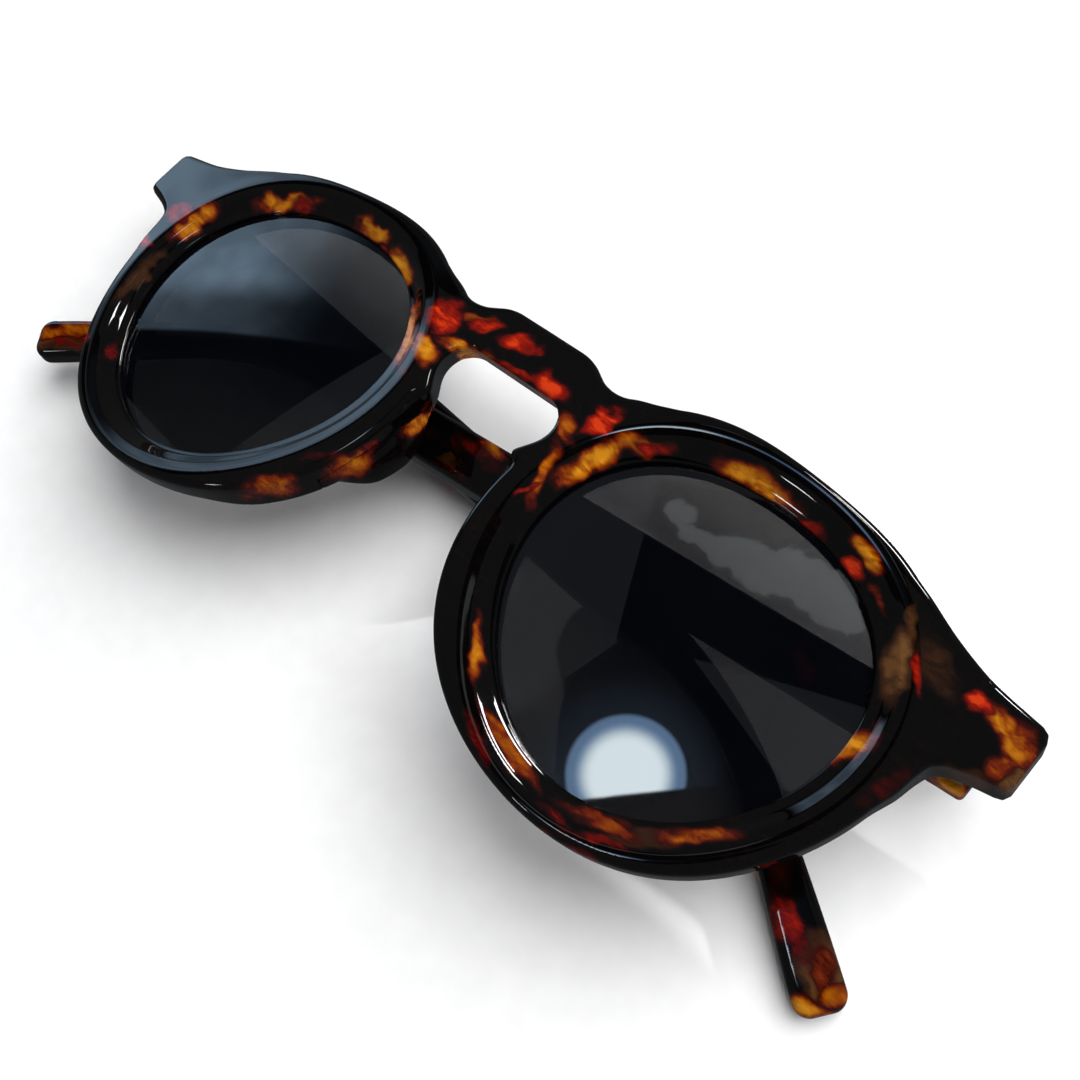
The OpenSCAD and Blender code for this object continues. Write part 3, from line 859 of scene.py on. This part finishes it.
def lamp(name, azimuth, elevation, distance, size, radiance, seen_by):
    """A flat soft lamp that faces the glasses, seen by the matt or by the glossy side of the surfaces."""
    data = bpy.data.lights.new(name, "AREA")
    data.shape = "RECTANGLE"
    data.size, data.size_y = size
    data.energy = radiance * size[0] * size[1] * math.pi
    light = bpy.data.objects.new(name, data)
    out = direction(azimuth, elevation)
    light.location = out * distance
    light.rotation_mode = "QUATERNION"
    light.rotation_quaternion = out.to_track_quat("Z", "Y")
    light.visible_glossy = seen_by == "gloss"
    light.visible_diffuse = seen_by == "matt"
    light.visible_camera = light.visible_transmission = False
    bpy.context.scene.collection.objects.link(light)

for plan in (("top_sail", 60, 60, 1.2, (1.2, 1.2), 4.6, "matt"),
             ("brow_key", 100, 22, 1.0, (0.5, 0.22), 6.0, "matt"),
             ("right_fill", 350, 30, 1.0, (0.9, 0.5), 2.3, "matt"),
             ("brow_strip", 87, 25, 1.0, (0.31, 0.19), 34, "gloss"),
             ("high_strip", 99, 52, 1.0, (0.13, 0.12), 30, "gloss"),
             ("front_strip", -107, 41, 1.0, (0.08, 0.08), 20, "gloss")):
    lamp(*plan)

def narrow_spot(name, azimuth, elevation, aim, opening, power):
    """A spot with a narrow cone, as used to lift one patch of the table."""
    data = bpy.data.lights.new(name, "SPOT")
    data.spot_size = math.radians(opening)
    data.spot_blend = 1.0
    data.shadow_soft_size = 0.02
    data.energy = power
    light = bpy.data.objects.new(name, data)
    out = direction(azimuth, elevation)
    light.location = Vector(aim) + out
    light.rotation_mode = "QUATERNION"
    light.rotation_quaternion = out.to_track_quat("Z", "Y")
    light.visible_glossy = light.visible_camera = light.visible_transmission = False
    bpy.context.scene.collection.objects.link(light)

narrow_spot("gap_spot_left", 180, 50, (0.0165, -0.0005, 0), 1.1, 130)
narrow_spot("gap_spot_right", 100, 18, (0.047, 0.0045, 0), 1.1, 230)

# %% [markdown]
# Three lamps are seen as shapes on the lenses: a round one, bright in the middle and cut off by a straight
# edge, a broad bluish one at the side that fades out, and a pale patch with a frayed edge. A plain lamp
# is even all over, so these are cards whose emission falls off from node maths. Only mirror reflections
# see them.

# %% Three cards that only the gloss sees
CARD_TOP = 12.0

def card(name, azimuth, elevation, distance, half, aim, emission):
    mesh = bpy.data.meshes.new(name)
    out = direction(azimuth, elevation)
    corners = [Vector((x * half[0], y * half[1], 0)) for x, y in ((-1, -1), (1, -1), (1, 1), (-1, 1))]
    mesh.from_pydata(corners, [], [(3, 2, 1, 0)])
    piece = bpy.data.objects.new(name, mesh)
    piece.location = Vector(aim) + out * distance
    piece.rotation_mode = "QUATERNION"
    piece.rotation_quaternion = out.to_track_quat("Z", "Y")
    bpy.context.scene.collection.objects.link(piece)
    piece.visible_camera = piece.visible_diffuse = piece.visible_shadow = piece.visible_transmission = False
    finish = Finish(name)
    place = finish.place()
    x = finish.node("ShaderNodeSeparateXYZ", {}, {"Vector": place}, "X")
    y = finish.node("ShaderNodeSeparateXYZ", {}, {"Vector": place}, "Y")
    level, tint = emission(finish, x, y)
    colour = finish.mix(level * (1 / CARD_TOP), (0, 0, 0, 1), tint)
    dress(piece, finish.surface({"Base Color": (0, 0, 0, 1), "Roughness": 1.0, "Specular IOR Level": 0.0,
                                 "Emission Color": colour, "Emission Strength": CARD_TOP}))
    return piece

def reach(finish, x, y):
    return finish.node("ShaderNodeMath", {"operation": "SQRT"}, {0: x * x + y * y})

def round_emission(finish, x, y):
    """A disc with a white heart and a bluish rim, cut off along one straight edge."""
    x = x - 0.0125
    y = y - 0.003
    radius = reach(finish, x, y)
    shutter = 1 - (0.491 * x + 0.871 * y).between(0.024, 0.030)
    disc = 1 - radius.between(0.080, 0.088)
    heart = 1 - radius.between(0.045, 0.076)
    halo = 1 - radius.between(0.085, 0.15)
    tint = finish.ramp(heart, (0.0, (0.35, 0.60, 1.0)), (0.5, (0.72, 0.88, 1.0)), (0.9, (0.82, 0.94, 1.0)))
    return shutter * (0.14 * halo + disc * (3.0 + 7.0 * heart)), tint

def side_emission(finish, x, y):
    """A broad glow that fades to one side, dims and then stops at a straight edge."""
    across = 0.785 * x + 0.619 * y
    along = 0.785 * y - 0.619 * x
    edge = 1 - across.between(0.213, 0.223)
    dim = 1 - 0.68 * across.between(0.10, 0.165)
    fade = 1 - 0.95 * along.between(0.03, 0.25)
    ends = (1 - (x * x).between(0.05, 0.085)) * (1 - (y * y).between(0.12, 0.17))
    soft = 0.75 + 0.5 * finish.noise(finish.place(), 9, 2.0, 0.5).between(0.35, 0.65)
    left = 0.6 + 0.4 * x.between(-0.06, 0.1)
    return 2.1 * edge * dim * fade * ends * soft * left, (0.52, 0.75, 1.0, 1)

def patch_emission(finish, x, y):
    """A pale patch with a frayed upper edge, as on the near lens of the photograph."""
    wave = 0.05 * (finish.noise(finish.place(), 24, 4.0, 0.6) - 0.5)
    inside = None
    for cx, cy, long, short, tilt in PATCH:
        c, s = math.cos(math.radians(tilt)), math.sin(math.radians(tilt))
        a = ((x - cx) * c + (y - cy) * s) * (1 / long)
        b = ((y - cy) * c - (x - cx) * s) * (1 / short)
        oval = 1 - (reach(finish, a, b) + wave * (1 / short)).between(0.93, 1.07)
        inside = oval if inside is None else inside.maths("MAXIMUM", inside, oval)
    return 0.56 * inside, (0.88, 0.97, 1.0, 1)

PATCH = [(0.152, -0.086, 0.024, 0.022, 0), (0.10, -0.050, 0.060, 0.016, 158), (0.02, -0.030, 0.085, 0.034, 165),
         (-0.075, -0.020, 0.080, 0.042, 155), (-0.135, 0.012, 0.030, 0.020, 120)]
card("round_card", 165, 81.5, 0.9, (0.16, 0.16), (0.040, -0.014, 0.018), round_emission)
card("side_card", 162, 24, 1.0, (0.3, 0.42), (-0.045, 0.005, 0.014), side_emission)
card("patch_card", 113.97, 66.26, 1.0, (0.2, 0.14), (0.040, -0.005, 0.018), patch_emission)
bpy.context.scene.view_settings.view_transform = "Standard"
print("the lens cards give up to", CARD_TOP, "times the paper's white")
